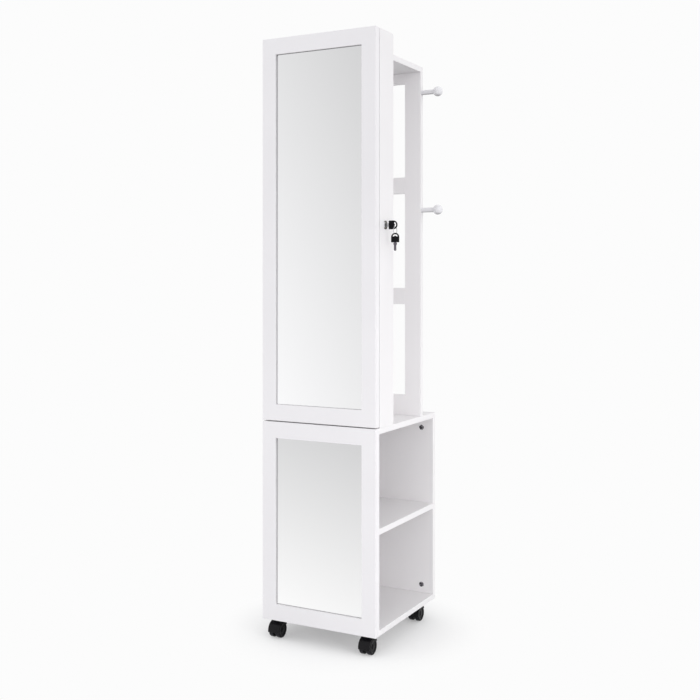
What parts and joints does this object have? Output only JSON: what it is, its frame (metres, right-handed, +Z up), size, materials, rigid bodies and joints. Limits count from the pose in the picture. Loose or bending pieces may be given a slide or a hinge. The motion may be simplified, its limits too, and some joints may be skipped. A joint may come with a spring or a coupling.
{
  "type": "jewelry mirror cabinet",
  "caption": "Tall narrow mirror cabinet on casters with a lockable jewellery case behind a mirror door, a coat rack with pegs behind it and an open-sided shelf base.",
  "frame": {"origin": "on the floor, below the middle of the base", "axes": "+X to the open side with the lock, +Y to the back, +Z up"},
  "size_m": [0.491, 0.4004, 1.7],
  "materials": {
    "white_board": "white satin paint on fibreboard",
    "mirror_glass": "flat silvered mirror glass",
    "zinc_cam": "dark zinc",
    "zinc_steel": "zinc plated",
    "lock_chrome": "polished",
    "key_steel": "nickel plated",
    "key_plastic": "moulded, soft gloss",
    "hook_brass": "polished",
    "velvet": "short pile velvet",
    "caster_plastic": "moulded nylon, fine texture",
    "wheel_plastic": "moulded nylon"
  },
  "bodies": {
    "cabinet": {"base_bottom_board": "white_board", "base_top_board": "white_board", "base_back_panel": "white_board", "base_left_panel": "white_board", "base_shelf": "white_board", "base_front_frame": "white_board", "base_mirror": "mirror_glass", "base_mirror_backing": "white_board", "panel_cams": "zinc_cam", "shelf_pins": "zinc_steel", "caster_plates": "zinc_steel", "caster_screws": "zinc_steel", "case_left_side": "white_board", "case_right_side": "white_board", "case_top": "white_board", "case_bottom": "white_board", "case_back": "white_board", "hinge_case_leaves": "zinc_steel", "hinge_case_screws": "zinc_steel", "hinge_pins": "zinc_steel", "lock_housing": "lock_chrome", "back_lining": "velvet", "necklace_rail": "white_board", "necklace_hooks": "hook_brass", "earring_rails": "white_board", "ring_cushion": "velvet", "tray_shelves": "white_board", "rack_top_board": "white_board", "rack_stiles": "white_board", "rack_rails": "white_board", "coat_pegs": "white_board"},
    "door": {"door_frame": "white_board", "door_mirror": "mirror_glass", "door_mirror_backing": "white_board", "lock_strike": "zinc_steel", "hinge_door_leaves": "zinc_steel", "hinge_door_screws": "zinc_steel"},
    "lock_barrel": {"lock_plug": "lock_chrome", "lock_cam": "zinc_steel", "key_blade": "key_steel", "key_bow": "key_plastic"},
    "ring": {"key_ring": "key_steel"},
    "spare_key": {"spare_key_blade": "key_steel", "spare_key_bow": "key_plastic"},
    "caster_front_left": {"caster_hood_front_left": "caster_plastic", "caster_axle_front_left": "zinc_steel"},
    "wheel_front_left_left": {"wheel_front_left_left": "wheel_plastic"},
    "wheel_front_left_right": {"wheel_front_left_right": "wheel_plastic"},
    "caster_front_right": {"caster_hood_front_right": "caster_plastic", "caster_axle_front_right": "zinc_steel"},
    "wheel_front_right_left": {"wheel_front_right_left": "wheel_plastic"},
    "wheel_front_right_right": {"wheel_front_right_right": "wheel_plastic"},
    "caster_rear_left": {"caster_hood_rear_left": "caster_plastic", "caster_axle_rear_left": "zinc_steel"},
    "wheel_rear_left_left": {"wheel_rear_left_left": "wheel_plastic"},
    "wheel_rear_left_right": {"wheel_rear_left_right": "wheel_plastic"},
    "caster_rear_right": {"caster_hood_rear_right": "caster_plastic", "caster_axle_rear_right": "zinc_steel"},
    "wheel_rear_right_left": {"wheel_rear_right_left": "wheel_plastic"},
    "wheel_rear_right_right": {"wheel_rear_right_right": "wheel_plastic"}
  },
  "joints": [
    {"name": "door_swing", "type": "hinge", "parent": "cabinet", "child": "door", "pos_m": [-0.183, -0.1765, 1.1595], "axis": [0, 0, -1], "range_deg": [0, 105]},
    {"name": "key_turn", "type": "hinge", "parent": "cabinet", "child": "lock_barrel", "pos_m": [0.18, -0.142, 1.167], "axis": [-1, 0, 0], "range_deg": [0, 90]},
    {"name": "ring_swing", "type": "hinge", "parent": "lock_barrel", "child": "ring", "pos_m": [0.21, -0.142, 1.15829], "axis": [1, 0, 0], "range_deg": [-90, 90]},
    {"name": "spare_key_swing", "type": "hinge", "parent": "ring", "child": "spare_key", "pos_m": [0.21, -0.142, 1.14069], "axis": [0, 1, 0], "range_deg": [-30, 30]},
    {"name": "swivel_front_left", "type": "hinge", "parent": "cabinet", "child": "caster_front_left", "pos_m": [-0.144, -0.158, 0.045], "axis": [0, 0, 1], "continuous": true},
    {"name": "roll_front_left_left", "type": "hinge", "parent": "caster_front_left", "child": "wheel_front_left_left", "pos_m": [-0.15475, -0.176, 0.022], "axis": [1, 0, 0], "continuous": true},
    {"name": "roll_front_left_right", "type": "hinge", "parent": "caster_front_left", "child": "wheel_front_left_right", "pos_m": [-0.13325, -0.176, 0.022], "axis": [1, 0, 0], "continuous": true},
    {"name": "swivel_front_right", "type": "hinge", "parent": "cabinet", "child": "caster_front_right", "pos_m": [0.144, -0.158, 0.045], "axis": [0, 0, 1], "continuous": true},
    {"name": "roll_front_right_left", "type": "hinge", "parent": "caster_front_right", "child": "wheel_front_right_left", "pos_m": [0.13325, -0.176, 0.022], "axis": [1, 0, 0], "continuous": true},
    {"name": "roll_front_right_right", "type": "hinge", "parent": "caster_front_right", "child": "wheel_front_right_right", "pos_m": [0.15475, -0.176, 0.022], "axis": [1, 0, 0], "continuous": true},
    {"name": "swivel_rear_left", "type": "hinge", "parent": "cabinet", "child": "caster_rear_left", "pos_m": [-0.144, 0.158, 0.045], "axis": [0, 0, 1], "continuous": true},
    {"name": "roll_rear_left_left", "type": "hinge", "parent": "caster_rear_left", "child": "wheel_rear_left_left", "pos_m": [-0.15475, 0.14, 0.022], "axis": [1, 0, 0], "continuous": true},
    {"name": "roll_rear_left_right", "type": "hinge", "parent": "caster_rear_left", "child": "wheel_rear_left_right", "pos_m": [-0.13325, 0.14, 0.022], "axis": [1, 0, 0], "continuous": true},
    {"name": "swivel_rear_right", "type": "hinge", "parent": "cabinet", "child": "caster_rear_right", "pos_m": [0.144, 0.158, 0.045], "axis": [0, 0, 1], "continuous": true},
    {"name": "roll_rear_right_left", "type": "hinge", "parent": "caster_rear_right", "child": "wheel_rear_right_left", "pos_m": [0.13325, 0.14, 0.022], "axis": [1, 0, 0], "continuous": true},
    {"name": "roll_rear_right_right", "type": "hinge", "parent": "caster_rear_right", "child": "wheel_rear_right_right", "pos_m": [0.15475, 0.14, 0.022], "axis": [1, 0, 0], "continuous": true}
  ]
}
